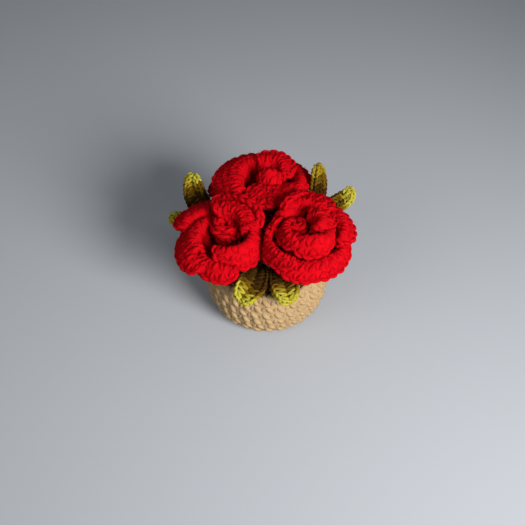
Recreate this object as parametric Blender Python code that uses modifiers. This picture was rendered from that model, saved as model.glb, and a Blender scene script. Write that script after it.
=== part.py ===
"""Crocheted pot of roses: a stuffed pot, three rolled roses and six leaves.

Metres, +Z up.  The origin is the centre of the pot's flat underside, and the
front of the bush faces -Y.
"""
import bmesh
import bpy
import math
from mathutils import Vector

MM = 0.001

# Pot
POT_FOOT_R = 19.5 * MM
POT_LOW_R = 25.6 * MM
POT_WAIST_R = 27.7 * MM
POT_RIM_R = 27.0 * MM
POT_LOW_Z = 6.5 * MM
POT_H = 29.5 * MM
POT_LIP = 3.4 * MM
POT_FILL_Z = 28.0 * MM
POT_SIDES = 48
POT_LIP_STEPS = 6
POT_SIDE_STEPS = 10
POT_BELLY = (0.68, 0.44)
POT_BELLY_SHARE = 0.985
POT_CORNER = (0.55, 0.30)
POT_FILL_INSET = 1.0 * MM

# Seats between the pieces
GAP = 0.3 * MM

# Rose heads
PETAL_T = 2.18 * MM
PETAL_ACROSS = 7
PETAL_ALONG = 5
PETAL_FOOT = (3.4, 1.2)
PETAL_BELLY = (0.84, 0.42)
PETAL_LIP = (0.56, 0.30)
PETAL_ROUNDING = 0.30
PETAL_FAN = 0.66
PETAL_TUCK = 1.2
PETAL_SAG = 1.3
ROSE_BASE_Z = 31.5 * MM
ROSE_H = 22.5 * MM
ROSE_CORE_R = 7.5 * MM
ROSE_FOOT_DROP = 1.0 * MM
ROSE_CORE_SIDES = 20
SEED_R = 2.0 * MM
SEED_TOP = 5.0 * MM
SEED_LOW = 3.0 * MM
SEED_SIDES = 12
SMOOTH_DEGREES = 40.0
CLUSTER_X = 0.5 * MM
CLUSTER_Y = -1.0 * MM
SIDE_GAP = 0.1 * MM
LAYER_STEP = 0.16 * MM
PRESS_SOFT = 1.2 * MM
PRESS_LIFT = 0.7
MIDDLE_HOLE_R = 2.3 * MM
BUD_TURNS = 1.7
BUD_R_IN = 1.9 * MM
BUD_THICK = 0.8 * PETAL_T
BUD_ACROSS = 20
BUD_ALONG = 4
BUD_NECK = 0.72
BUD_FLARE = 0.5 * MM
BUD_FOOT_Z = 0.20 * ROSE_H
BUD_SPIRAL_DROP = 0.13
BUD_WAVE = 0.5 * MM
BUD_WAVE_TURN = 7.0

# Stems
STEM_R_LOW = 4.4 * MM
STEM_R_TOP = 3.8 * MM
STEM_SIDES = 16

# Leaves
LEAF_RINGS = 12
LEAF_SIDES = 10
LEAF_NECK = 0.60
LEAF_SWELL = 1.7
LEAF_THIN = 0.80
LEAF_GROOVE = 0.35
LEAF_BLUNTNESS = 0.40
LEAF_FOOT_EASE = 5

# Each rose: the azimuths its two walls face, foot x y, bud x y, where its bud
# starts, how far the bud's roll stands aside, its reach and its share of the
# height, and its petals from the outer round to the inner one.  A petal is its
# azimuth and half width in degrees, then in millimetres how far out and how high
# its crest and its rim are: crest distance, crest height, rim distance, rim height.
ROSES = {
    "rose_left": {
        "walls": (230, 165), "foot": (-13.5, -7.0), "bud": (-18.5, -9.5), "turn": 20,
        "roll": (0.0, 6.0, 5.5, 0.85),
        "petals": [
            (310, 75, 10.0, 18.5, 13.5, 9.5),
            (120, 50, 17.0, 17.0, 25.0, 13.0),
            (190, 50, 16.0, 14.0, 22.0, 9.5),
            (240, 45, 13.5, 12.5, 18.5, 7.5),
            (55, 60, 9.5, 22.5, 21.5, 21.0),
            (165, 50, 12.0, 17.0, 18.5, 12.0),
        ],
    },
    "rose_right": {
        "walls": (320, 345), "foot": (12.5, -6.0), "bud": (16.5, -6.5), "turn": 150,
        "roll": (-4.0, 2.5, 3.5, 0.85),
        "petals": [
            (205, 55, 16.5, 17.5, 18.0, 11.0),
            (135, 50, 12.0, 18.5, 17.0, 16.0),
            (90, 50, 12.5, 20.5, 23.0, 17.0),
            (30, 60, 15.5, 17.5, 21.5, 14.0),
            (290, 70, 15.5, 13.0, 20.5, 8.0),
            (200, 50, 8.5, 20.5, 10.5, 15.5),
            (20, 60, 5.0, 22.0, 11.5, 19.0),
            (285, 55, 8.5, 21.0, 12.5, 14.5),
        ],
    },
    "rose_back": {
        "walls": (50, 140), "foot": (-1.0, 16.0), "bud": (0.5, 27.5), "turn": 260,
        "roll": (0.0, 0.5, 3.5, 0.9),
        "petals": [
            (300, 45, 10.0, 19.0, 17.0, 18.0),
            (275, 65, 7.5, 19.0, 16.0, 17.0),
            (55, 70, 7.5, 22.0, 13.0, 21.5),
            (0, 55, 13.5, 18.5, 19.5, 15.0),
            (175, 55, 13.5, 17.0, 25.5, 11.5),
            (155, 65, 12.5, 20.0, 23.5, 16.0),
            (270, 55, 3.5, 23.5, 6.0, 16.0),
        ],
    },
}

# Each leaf: points of its midline x y z, then half width, half thickness and
# the direction its broad face looks towards.
LEAVES = {
    "leaf_front_left": {
        "line": [(-3.2, -11.0, 29.8), (-3.6, -19.0, 38.3), (-7.0, -28.8, 37.3), (-11.6, -30.4, 31.9)],
        "half": (6.3, 1.6), "face": (-0.1, -0.6, 0.8),
    },
    "leaf_front_right": {
        "line": [(4.2, -11.0, 29.8), (4.8, -18.0, 36.2), (6.9, -27.0, 36.3), (8.8, -31.2, 31.8)],
        "half": (6.2, 1.6), "face": (0.10, -0.50, 0.9),
    },
    "leaf_back_left_upper": {
        "line": [(-16.5, 9.8, 29.9), (-27.2, 15.3, 37.0), (-34.0, 20.0, 41.7), (-33.0, 26.5, 52.2)],
        "half": (5.6, 1.8), "face": (-0.3, -0.8, 0.5),
    },
    "leaf_back_left_lower": {
        "line": [(-20.0, 5.5, 29.9), (-28.0, 10.0, 36.5), (-37.0, 10.5, 38.0), (-42.8, 10.5, 40.5)],
        "half": (4.0, 1.7), "face": (-0.2, -0.4, 0.9),
    },
    "leaf_back_right_upper": {
        "line": [(15.0, 11.5, 29.9), (20.8, 17.5, 36.5), (24.0, 22.0, 45.0), (21.9, 26.8, 56.8)],
        "half": (3.8, 2.4), "face": (0.3, -0.8, 0.4),
    },
    "leaf_back_right_lower": {
        "line": [
            (19.5, 6.0, 29.9), (23.5, 17.0, 42.0), (32.5, 20.5, 42.6),
            (37.2, 20.0, 40.5), (36.2, 20.5, 49.0),
        ],
        "half": (3.9, 1.9), "face": (-0.1, -0.6, 0.8),
    },
}

POT_COLOUR = (0.45, 0.28, 0.12, 1.0)
RED_COLOUR = (0.52, 0.005, 0.012, 1.0)
LEAF_COLOUR = (0.24, 0.20, 0.025, 1.0)
STEM_COLOUR = (0.20, 0.17, 0.03, 1.0)


def clear_objects():
    for item in list(bpy.data.objects):
        bpy.data.objects.remove(item, do_unlink=True)


def yarn_material(name, colour, roughness=0.9):
    material = bpy.data.materials.new(name)
    material.use_nodes = True
    shader = material.node_tree.nodes["Principled BSDF"]
    shader.inputs["Base Color"].default_value = colour
    shader.inputs["Roughness"].default_value = roughness
    shader.inputs["Metallic"].default_value = 0.0
    return material


def direction(azimuth):
    angle = math.radians(azimuth)
    return Vector((math.cos(angle), math.sin(angle), 0.0))


def add_object(name, mesh, material, collection):
    mesh.materials.clear()
    mesh.materials.append(material)
    item = bpy.data.objects.new(name, mesh)
    collection.objects.link(item)
    return item


def turned(name, profile, sides, material, collection):
    """A closed turned body from a profile that runs from the top axis to the bottom one."""
    mesh = bpy.data.meshes.new(name)
    bm = bmesh.new()
    points = [bm.verts.new((x, 0.0, z)) for x, z in profile]
    for first, second in zip(points, points[1:]):
        bm.edges.new((first, second))
    bm.to_mesh(mesh)
    bm.free()
    item = add_object(name, mesh, material, collection)
    screw = item.modifiers.new("Turn", "SCREW")
    screw.steps = sides
    screw.render_steps = sides
    screw.use_merge_vertices = True
    screw.merge_threshold = 0.00001
    screw.use_smooth_shade = True
    return item


def bezier(points, share):
    while len(points) > 1:
        points = [a.lerp(b, share) for a, b in zip(points, points[1:])]
    return points[0]


def through(points, share):
    """A smooth line through evenly spaced points."""
    place = min(max(share, 0.0), 0.99999) * (len(points) - 1)
    index = int(place)
    part = place - index
    p1 = points[index]
    p2 = points[index + 1]
    p0 = points[index - 1] if index > 0 else p1 * 2.0 - p2
    p3 = points[index + 2] if index + 2 < len(points) else p2 * 2.0 - p1
    flat = p1 * 2.0 + (p2 - p0) * part
    bend = (p0 * 2.0 - p1 * 5.0 + p2 * 4.0 - p3) * part ** 2
    swing = (p1 * 3.0 - p0 - p2 * 3.0 + p3) * part ** 3
    return (flat + bend + swing) * 0.5


def pot_profile():
    """Closed top inside a low lip, bulging side, round lower corner, flat foot."""
    points = [(0.0, POT_FILL_Z), (POT_RIM_R - POT_LIP - POT_FILL_INSET, POT_FILL_Z)]
    half = POT_LIP / 2.0
    for step in range(POT_LIP_STEPS + 1):
        angle = math.pi * (1.0 - step / POT_LIP_STEPS)
        x = POT_RIM_R - half + half * math.cos(angle)
        z = POT_H - half + half * math.sin(angle)
        points.append((x, max(z, POT_FILL_Z) if step == 0 else z))
    side = [
        Vector((POT_RIM_R, POT_H - half)),
        Vector((POT_WAIST_R, POT_BELLY[0] * POT_H)),
        Vector((POT_BELLY_SHARE * POT_WAIST_R, POT_BELLY[1] * POT_H)),
        Vector((POT_LOW_R, POT_LOW_Z)),
        Vector((POT_FOOT_R + POT_CORNER[0] * (POT_LOW_R - POT_FOOT_R), POT_CORNER[1] * POT_LOW_Z)),
        Vector((POT_FOOT_R, 0.0)),
    ]
    for step in range(1, POT_SIDE_STEPS + 1):
        spot = through(side, step / POT_SIDE_STEPS)
        points.append((spot.x, max(0.0, spot.y)))
    points.append((0.0, 0.0))
    return points


def eased(distance, limit):
    """A distance kept above a limit, coming up to it softly."""
    excess = distance - limit - PRESS_SOFT
    if excess >= 0.0:
        return distance
    return limit + PRESS_SOFT * math.exp(excess / PRESS_SOFT)


def press(point, walls, margin):
    """Press a point back into its rose's share of the cluster, as neighbours do.

    What is pushed inwards also rides up a little, so that no petal folds flat.
    """
    middle = Vector((CLUSTER_X, CLUSTER_Y, 0.0))
    free = point
    for facing in walls:
        normal = direction(facing)
        distance = (point - middle).dot(normal)
        point = point + normal * (eased(distance, margin) - distance)
    out = Vector((point.x, point.y, 0.0)) - middle
    distance = out.length
    point = point + out.normalized() * (eased(distance, margin + MIDDLE_HOLE_R) - distance)
    return point + Vector((0.0, 0.0, PRESS_LIFT * (point - free).length))


def rose_point(rose, azimuth, radius, height, layer=0):
    """A point of a rose from its azimuth, distance from the rose's axis and height.

    Petals that are pressed by a neighbour lie one behind the other, by layer.
    """
    share = height / ROSE_H
    x = (rose["foot"][0] + (rose["bud"][0] - rose["foot"][0]) * share) * MM
    y = (rose["foot"][1] + (rose["bud"][1] - rose["foot"][1]) * share) * MM
    point = Vector((x, y, ROSE_BASE_Z + height)) + direction(azimuth) * radius
    return press(point, rose["walls"], PETAL_T / 2.0 + SIDE_GAP + layer * LAYER_STEP)


def petal_shape(rose, layer, petal, across, along):
    """Where a petal's sheet is, with across in -1..1 and along in 0..1."""
    azimuth, half, crest_r, crest_h, rim_r, rim_h = petal
    share = along * (1.0 - PETAL_ROUNDING * abs(across) ** 3)
    line = [
        Vector(PETAL_FOOT),
        Vector((PETAL_BELLY[0] * crest_r, PETAL_BELLY[1] * crest_h)),
        Vector((crest_r, crest_h)),
        Vector((crest_r + PETAL_LIP[0] * (rim_r - crest_r), crest_h + PETAL_LIP[1] * (rim_h - crest_h))),
        Vector((rim_r, rim_h)),
    ]
    spot = through(line, share)
    swing = half * across * (PETAL_FAN + (1.0 - PETAL_FAN) * share)
    tuck = PETAL_TUCK * across * min(1.0, 1.6 * share)
    drop = PETAL_SAG * abs(across) ** 3 * min(1.0, 2.0 * share)
    return rose_point(rose, azimuth + swing, (spot.x + tuck) * MM, (spot.y - drop) * MM, layer)


def bud_shape(rose, across, along):
    """The rolled middle: one strip wound outwards, its rim standing up."""
    roll_x, roll_y, reach, tall = rose["roll"]
    share = (across + 1.0) / 2.0
    radius = BUD_R_IN + (reach * MM - BUD_R_IN) * share
    radius = radius * (BUD_NECK + (1.0 - BUD_NECK) * along) + BUD_FLARE * along ** 3
    top = tall * ROSE_H * (1.0 - BUD_SPIRAL_DROP * share) + BUD_WAVE * math.sin(BUD_WAVE_TURN * share)
    height = BUD_FOOT_Z + (top - BUD_FOOT_Z) * along
    point = rose_point(rose, rose["turn"] + 360.0 * BUD_TURNS * share, radius, height)
    return point + Vector((roll_x, roll_y, 0.0)) * MM * along


def sheet(name, rule, across, along, thickness, material, collection):
    """A grid laid on a rule and given thickness on both sides."""
    mesh = bpy.data.meshes.new(name)
    bm = bmesh.new()
    bmesh.ops.create_grid(bm, x_segments=across, y_segments=along, size=1.0)
    for vert in bm.verts:
        vert.co = rule(vert.co.x, (vert.co.y + 1.0) / 2.0)
    bm.to_mesh(mesh)
    bm.free()
    item = add_object(name, mesh, material, collection)
    shell = item.modifiers.new("Thickness", "SOLIDIFY")
    shell.thickness = thickness
    shell.offset = 0.0
    return item


def core(name, rose, material, collection):
    """The gathered foot that a rose's petals are sewn to."""
    reach = ROSE_CORE_R
    profile = [
        (0.0, 7.5 * MM), (0.35 * reach, 7.3 * MM), (0.75 * reach, 5.6 * MM), (reach, 3.4 * MM),
        (0.97 * reach, 1.2 * MM), (0.78 * reach, -ROSE_FOOT_DROP), (0.0, -ROSE_FOOT_DROP),
    ]
    item = turned(name, profile, ROSE_CORE_SIDES, material, collection)
    item.location = (rose["foot"][0] * MM, rose["foot"][1] * MM, ROSE_BASE_Z)
    return item


def outward_volume(faces):
    total = 0.0
    for face in faces:
        corners = [vert.co for vert in face.verts]
        for second, third in zip(corners[1:], corners[2:]):
            total += corners[0].dot(second.cross(third)) / 6.0
    return total


def keep_main_body(mesh):
    """Drop loose scraps and fill hollows that joining has sealed."""
    bm = bmesh.new()
    bm.from_mesh(mesh)
    bmesh.ops.remove_doubles(bm, verts=bm.verts, dist=0.000001)
    bmesh.ops.triangulate(bm, faces=bm.faces)
    left = set(bm.faces)
    shells = []
    while left:
        pending = [left.pop()]
        shell = []
        while pending:
            face = pending.pop()
            shell.append(face)
            for edge in face.edges:
                if len(edge.link_faces) != 2:
                    continue
                for other in edge.link_faces:
                    if other in left:
                        left.remove(other)
                        pending.append(other)
        shells.append(shell)
    shells.sort(key=outward_volume, reverse=True)
    for shell in shells[1:]:
        bmesh.ops.delete(bm, geom=shell, context="FACES")
    bm.to_mesh(mesh)
    bm.free()


def join_all(name, collection, material, target):
    """Union every object of a collection into one object, then remove them."""
    seed = [(0.0, SEED_TOP), (SEED_R, SEED_TOP), (SEED_R, SEED_LOW), (0.0, SEED_LOW)]
    host = turned(name, seed, SEED_SIDES, material, target)
    middle = collection.objects[0]
    host.location = middle.location
    union = host.modifiers.new("Join", "BOOLEAN")
    union.operation = "UNION"
    union.operand_type = "COLLECTION"
    union.collection = collection
    union.solver = "MANIFOLD"
    bpy.context.view_layer.update()
    graph = bpy.context.evaluated_depsgraph_get()
    mesh = bpy.data.meshes.new_from_object(host.evaluated_get(graph))
    place = host.matrix_world.copy()
    for item in list(collection.objects):
        bpy.data.objects.remove(item, do_unlink=True)
    bpy.data.objects.remove(host, do_unlink=True)
    bpy.data.collections.remove(collection)
    mesh.name = name
    mesh.transform(place)
    keep_main_body(mesh)
    item = add_object(name, mesh, material, target)
    mesh.shade_smooth()
    mesh.set_sharp_from_angle(angle=math.radians(SMOOTH_DEGREES))
    return item


def build_rose(name, rose, material, target):
    pieces = bpy.data.collections.new(name + "_pieces")
    bpy.context.scene.collection.children.link(pieces)
    core(name + "_core", rose, material, pieces)
    sheet(
        name + "_bud", lambda u, v: bud_shape(rose, u, v),
        BUD_ACROSS, BUD_ALONG, BUD_THICK, material, pieces)
    for number, petal in enumerate(rose["petals"]):
        sheet(
            "%s_petal_%d" % (name, number), lambda u, v, n=number, p=petal: petal_shape(rose, n, p, u, v),
            PETAL_ACROSS, PETAL_ALONG, PETAL_T, material, pieces)
    return join_all(name, pieces, material, target)


def build_stem(name, rose, material, target):
    bottom = POT_FILL_Z + GAP
    top = ROSE_BASE_Z - ROSE_FOOT_DROP - GAP
    bpy.ops.mesh.primitive_cone_add(
        vertices=STEM_SIDES, radius1=STEM_R_LOW, radius2=STEM_R_TOP, depth=top - bottom)
    item = bpy.context.active_object
    item.name = name
    item.data.name = name
    for user in list(item.users_collection):
        user.objects.unlink(item)
    target.objects.link(item)
    item.data.materials.append(material)
    item.location = (rose["foot"][0] * MM, rose["foot"][1] * MM, (bottom + top) / 2.0)
    return item


def leaf_section(leaf, share):
    """Middle, side and face directions of a leaf, and its half width and thickness there."""
    line = [Vector(point) * MM for point in leaf["line"]]
    spot = bezier(line, share)
    ahead = bezier(line, min(1.0, share + 0.02)) - bezier(line, max(0.0, share - 0.02))
    ahead.normalize()
    face = Vector(leaf["face"])
    side = face.cross(ahead).normalized()
    face = ahead.cross(side).normalized()
    swell = LEAF_NECK + (1.0 - LEAF_NECK) * min(1.0, LEAF_SWELL * share)
    width = leaf["half"][0] * MM * swell * round_end(share)
    thick = leaf["half"][1] * MM * (LEAF_THIN + (1.0 - LEAF_THIN) * share) * round_end(share)
    return spot, side, face, width, thick


def round_end(share):
    return max(0.0, 4.0 * share * (1.0 - share)) ** LEAF_BLUNTNESS


def build_leaf(name, leaf, material, target):
    """A thick pointed leaf, made from a ball drawn out along its midline."""
    bpy.ops.mesh.primitive_uv_sphere_add(segments=LEAF_SIDES, ring_count=LEAF_RINGS, radius=1.0)
    item = bpy.context.active_object
    item.name = name
    item.data.name = name
    for user in list(item.users_collection):
        user.objects.unlink(item)
    target.objects.link(item)
    item.data.materials.append(material)
    placed = []
    for vert in item.data.vertices:
        share = min(1.0, max(0.0, 0.5 + 0.5 * vert.co.z))
        spot, side, face, width, thick = leaf_section(leaf, share)
        ring = math.hypot(vert.co.x, vert.co.y)
        around = Vector((vert.co.x, vert.co.y)) / ring if ring > 0.0001 else Vector((0.0, 0.0))
        groove = LEAF_GROOVE * thick * max(0.0, around.y) ** 3
        vert.co = spot + side * (width * around.x) + face * (thick * around.y - groove)
        placed.append((vert, share))
    sink = min(vert.co.z for vert, share in placed) - POT_FILL_Z - GAP
    for vert, share in placed:
        vert.co.z -= sink * (1.0 - share) ** LEAF_FOOT_EASE
    item.data.shade_smooth()
    return item


def main():
    clear_objects()
    target = bpy.data.collections.new("rose_bush")
    bpy.context.scene.collection.children.link(target)
    beige = yarn_material("pot_yarn", POT_COLOUR)
    red = yarn_material("rose_yarn", RED_COLOUR)
    olive = yarn_material("leaf_yarn", LEAF_COLOUR)
    brown = yarn_material("stem_yarn", STEM_COLOUR)
    turned("pot", pot_profile(), POT_SIDES, beige, target)
    for name, rose in ROSES.items():
        build_rose(name, rose, red, target)
        build_stem(name.replace("rose", "stem"), rose, brown, target)
    for name, leaf in LEAVES.items():
        build_leaf(name, leaf, olive, target)


main()
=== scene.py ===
"""Crocheted pot of roses: every piece worked in yarn, stitch by stitch.

The pot, the petals and the leaves are a backing of soft cloth with strands of
plied yarn laid over it in rows, an edging along each free edge, and loose fibres
standing off it.  The stems are wound yarn.  Shapes are in millimetres and become
metres when a mesh is made.  The panel's settings, lights and camera are in metres.
"""
import math

import bpy
import numpy as np
from bpy.props import FloatProperty, FloatVectorProperty, IntProperty, PointerProperty
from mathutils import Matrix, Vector


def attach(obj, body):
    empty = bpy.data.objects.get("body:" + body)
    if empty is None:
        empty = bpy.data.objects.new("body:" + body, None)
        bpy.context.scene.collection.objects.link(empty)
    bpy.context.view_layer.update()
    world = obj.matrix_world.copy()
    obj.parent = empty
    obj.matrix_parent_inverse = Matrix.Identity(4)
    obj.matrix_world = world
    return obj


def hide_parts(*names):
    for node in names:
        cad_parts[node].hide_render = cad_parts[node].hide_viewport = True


bl_info = {
    "name": "Crocheted rose bush",
    "version": (1, 0, 0),
    "blender": (4, 5, 0),
    "location": "3D View > Sidebar > Rose bush",
    "description": "Works a crocheted pot of roses in yarn around its packed frame",
    "category": "Object",
}

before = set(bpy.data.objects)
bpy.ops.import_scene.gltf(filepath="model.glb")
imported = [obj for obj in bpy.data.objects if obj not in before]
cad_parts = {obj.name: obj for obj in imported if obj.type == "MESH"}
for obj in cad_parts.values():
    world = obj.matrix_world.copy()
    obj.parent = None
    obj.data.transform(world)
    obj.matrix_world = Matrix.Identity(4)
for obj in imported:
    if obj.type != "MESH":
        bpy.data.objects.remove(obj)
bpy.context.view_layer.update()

MM = 0.001
BODY = "root"
POT_SEED, ROSE_SEED, STEM_SEED, LEAF_SEED = 11, 31, 71, 91
UP = np.array([0.0, 0.0, 1.0])

# How near its axis a turned body's end comes, before its flat cap
AXIS_R = 0.6

# Pot
POT_FOOT_R = 19.5
POT_LOW_R = 25.6
POT_WAIST_R = 27.7
POT_RIM_R = 27.0
POT_LOW_Z = 6.5
POT_H = 29.5
POT_LIP = 3.4
POT_FILL_Z = 28.0
POT_FILL_INSET = 1.0
POT_LIP_STEPS = 6
POT_SIDE_STEPS = 16
POT_BELLY = (0.68, 0.44)
POT_BELLY_SHARE = 0.985
POT_CORNER = (0.55, 0.30)
POT_SIDES = 72

# How far the pot's backing lies inside its outline: at the side and underside,
# below the lip, and below the filled top
POT_BACKING_IN = 0.9
POT_BACKING_LIP = 1.1
POT_BACKING_TOP = 1.5

# Rose heads
ROSE_BASE_Z = 31.5
ROSE_H = 22.5
ROSE_CORE_R = 7.5
ROSE_FOOT_DROP = 1.0
CLUSTER_X = 0.5
CLUSTER_Y = -1.0
SIDE_GAP = 0.1
LAYER_STEP = 0.16
PRESS_SOFT = 1.2
PRESS_LIFT = 0.7
MIDDLE_HOLE_R = 2.3
PETAL_FOOT = (3.4, 1.2)
PETAL_BELLY = (0.84, 0.42)
PETAL_LIP = (0.56, 0.30)
PETAL_ROUNDING = 0.30
PETAL_FAN = 0.66
PETAL_TUCK = 1.2
PETAL_SAG = 1.3
BUD_TURNS = 1.7
BUD_R_IN = 1.9
BUD_NECK = 0.72
BUD_FLARE = 0.5
BUD_FOOT_Z = 0.20 * ROSE_H
BUD_SPIRAL_DROP = 0.13
BUD_WAVE = 0.5
BUD_WAVE_TURN = 7.0
ROSE_CORE_SIDES = 28

# Stems
STEM_LOW_Z = 28.3
STEM_TOP_Z = 30.2
STEM_R = 4.2
STEM_TURN = 372.0
STEM_RISE = 0.2

# Leaves
LEAF_NECK = 0.60
LEAF_SWELL = 1.7
LEAF_BLUNTNESS = 0.40
LEAF_CUP = 0.55
LEAF_EDGE_IN = 0.9
LEAF_TONE_SPREAD = 0.03

# Each rose: the azimuths its two walls face, foot x y, bud x y, where its bud
# starts, how far the bud's roll stands aside, its reach and its share of the
# height, and its petals from the outer round to the inner one.  A petal is its
# azimuth and half width in degrees, then how far out and how high its crest and
# its rim are: crest distance, crest height, rim distance, rim height.
ROSES = {
    "rose_left": {
        "walls": (230, 165), "foot": (-13.5, -7.0), "bud": (-18.5, -9.5), "turn": 20,
        "roll": (0.0, 6.0, 5.5, 0.85),
        "petals": [
            (310, 75, 10.0, 18.5, 13.5, 9.5),
            (120, 50, 17.0, 17.0, 25.0, 13.0),
            (190, 50, 16.0, 14.0, 22.0, 9.5),
            (240, 45, 13.5, 12.5, 18.5, 7.5),
            (55, 60, 9.5, 22.5, 21.5, 21.0),
            (165, 50, 12.0, 17.0, 18.5, 12.0),
        ],
    },
    "rose_right": {
        "walls": (320, 345), "foot": (12.5, -6.0), "bud": (16.5, -6.5), "turn": 150,
        "roll": (-4.0, 2.5, 3.5, 0.85),
        "petals": [
            (205, 55, 16.5, 17.5, 18.0, 11.0),
            (135, 50, 12.0, 18.5, 17.0, 16.0),
            (90, 50, 12.5, 20.5, 23.0, 17.0),
            (30, 60, 15.5, 17.5, 21.5, 14.0),
            (290, 70, 15.5, 13.0, 20.5, 8.0),
            (200, 50, 8.5, 20.5, 10.5, 15.5),
            (20, 60, 5.0, 22.0, 11.5, 19.0),
            (285, 55, 8.5, 21.0, 12.5, 14.5),
        ],
    },
    "rose_back": {
        "walls": (50, 140), "foot": (-1.0, 16.0), "bud": (0.5, 27.5), "turn": 260,
        "roll": (0.0, 0.5, 3.5, 0.9),
        "petals": [
            (300, 45, 10.0, 19.0, 17.0, 18.0),
            (275, 65, 7.5, 19.0, 16.0, 17.0),
            (55, 70, 7.5, 22.0, 13.0, 21.5),
            (0, 55, 13.5, 18.5, 19.5, 15.0),
            (175, 55, 13.5, 17.0, 25.5, 11.5),
            (155, 65, 12.5, 20.0, 23.5, 16.0),
            (270, 55, 3.5, 23.5, 6.0, 16.0),
        ],
    },
}

# Each leaf: points of its midline x y z, then half width, half thickness and
# the direction its broad face looks towards.
LEAVES = {
    "leaf_front_left": {
        "line": [(-3.2, -11.0, 29.8), (-3.6, -19.0, 38.3), (-7.0, -28.8, 37.3), (-11.6, -30.4, 31.9)],
        "half": (6.3, 1.6), "face": (-0.1, -0.6, 0.8),
    },
    "leaf_front_right": {
        "line": [(4.2, -11.0, 29.8), (4.8, -18.0, 36.2), (6.9, -27.0, 36.3), (8.8, -31.2, 31.8)],
        "half": (6.2, 1.6), "face": (0.10, -0.50, 0.9),
    },
    "leaf_back_left_upper": {
        "line": [(-16.5, 9.8, 29.9), (-27.2, 15.3, 37.0), (-34.0, 20.0, 41.7), (-33.0, 26.5, 52.2)],
        "half": (5.6, 1.8), "face": (-0.3, -0.8, 0.5),
    },
    "leaf_back_left_lower": {
        "line": [(-20.0, 5.5, 29.9), (-28.0, 10.0, 36.5), (-37.0, 10.5, 38.0), (-42.8, 10.5, 40.5)],
        "half": (4.0, 1.7), "face": (-0.2, -0.4, 0.9),
    },
    "leaf_back_right_upper": {
        "line": [(15.0, 11.5, 29.9), (20.8, 17.5, 36.5), (24.0, 22.0, 45.0), (21.9, 26.8, 56.8)],
        "half": (3.8, 2.4), "face": (0.3, -0.8, 0.4),
    },
    "leaf_back_right_lower": {
        "line": [
            (19.5, 6.0, 29.9), (23.5, 17.0, 42.0), (32.5, 20.5, 42.6),
            (37.2, 20.0, 40.5), (36.2, 20.5, 49.0),
        ],
        "half": (3.9, 1.9), "face": (-0.1, -0.6, 0.8),
    },
}

# How far along each leaf its yarn turns from brown to dark olive, to olive and to
# the pale tone of its tip: partly the yarn's own tones, partly painted shade towards the foot and painted
# light at the tip.
LEAF_TURNS = {
    "leaf_front_left": (0.62, 0.71, 0.78), "leaf_front_right": (0.64, 0.73, 0.80),
    "leaf_back_left_upper": (0.74, 0.86, 0.92), "leaf_back_left_lower": (0.30, 0.58, 0.74),
    "leaf_back_right_upper": (0.76, 0.92, 1.02), "leaf_back_right_lower": (0.46, 0.62, 0.68),
}

# How a strand runs through one stitch: across, along and above the cloth, with
# across and along in stitches and above in strand thicknesses.
LEFT_LEG = [
    (0.62, -0.24, -0.55), (0.53, 0.10, 0.10), (0.32, 0.48, 0.34), (0.12, 0.82, 0.20), (0.02, 1.10, -0.50)]
RIGHT_LEG = [
    (0.62, -0.24, -0.55), (0.70, 0.10, 0.02), (0.81, 0.48, 0.24), (0.93, 0.82, 0.12), (1.00, 1.10, -0.50)]
# The same for one loop of an edging: along the edge in stitches, then off the
# edge and above the cloth in strand thicknesses.
EDGE_LOOP = [
    (-0.42, -0.45, 0.10), (-0.05, 0.02, 0.52), (0.38, 0.30, 0.46), (0.80, 0.20, 0.16), (1.16, -0.30, -0.10)]

# How uneven handwork is: a stitch's places across, along and above the cloth and
# its thickness, and an edging loop's place along, place off and thickness.
STITCH_UNEVEN = (0.035, 0.03, 0.10, 0.06)
EDGE_UNEVEN = (0.04, 0.05, 0.06)

# An edging loop points away from a place further in: nearer by a share across, and
# along by a share of what lies beyond a level.  It takes a share of the lift.
EDGE_IN_ACROSS = 0.9
EDGE_IN_LEVEL = 0.6
EDGE_IN_ALONG = 0.85
EDGE_LIFT = 0.55

# A strand of yarn: points along it, how blunt its ends are, its plies, how deep
# their grooves are as a share of its radius, and its turns for each millimetre.
STRAND_SAMPLES = 8
STRAND_BLUNTNESS = 0.35
YARN_PLIES = 3
PLY_DEPTH = 0.12
PLY_TWIST = 0.11

# The yarn's finish: how high plies and hairs stand in its bump, how fine its
# blotches are, and how far dye blotches and the painted shade in ply grooves turn to the deep tone.
PLY_RELIEF = 0.6
HAIR_RELIEF = 0.7
BLOTCH_SCALE = 160.0
DYE_AND_GROOVE_SHADE = 0.55

# Loose fibres: radius, points along one, where they are rooted as a share of the
# yarn's radius, how unevenly they lean and bend, about the longest on each piece, and
# the lowest root on the pot, so that none reaches under the floor.
FIBRE_R = 0.045
FIBRE_SAMPLES = 5
FIBRE_ROOT = 0.9
FIBRE_LEAN = 0.75
FIBRE_BEND = 0.8
POT_FIBRE = 1.7
ROSE_FIBRE = 1.6
LEAF_FIBRE = 1.1
POT_FIBRE_LOW = 3.5

# Where backings and stitches reach on their sheets, from and to across, then along,
# and a backing's grid.  A leaf's rows run along it, and its stitches reach across
# it from near the midrib to near the edge.  An edging runs through places.
POT_STITCHES = (-1.0, 1.0, 0.02, 0.985)
PETAL_BACKING = (-0.97, 0.97, 0.0, 0.985)
PETAL_STEPS = (21, 17)
PETAL_STITCHES = (-0.98, 0.98)
PETAL_END = 0.985
PETAL_LEAN = 0.3
PETAL_EDGE = [(-1.0, 0.55), (-1.0, 0.93), (-0.5, 1.0), (0.0, 1.0), (0.5, 1.0), (1.0, 0.93), (1.0, 0.55)]
LEAF_BACKING = (-0.96, 0.96, 0.03, 0.97)
LEAF_STEPS = (11, 25)
LEAF_ROWS = (0.04, 0.96)
LEAF_STITCHES = (0.10, 0.92)
LEAF_EDGE = [
    (-1.0, 0.03), (-1.0, 0.5), (-1.0, 0.93), (0.0, 0.985), (1.0, 0.93), (1.0, 0.5), (1.0, 0.03)]

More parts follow.
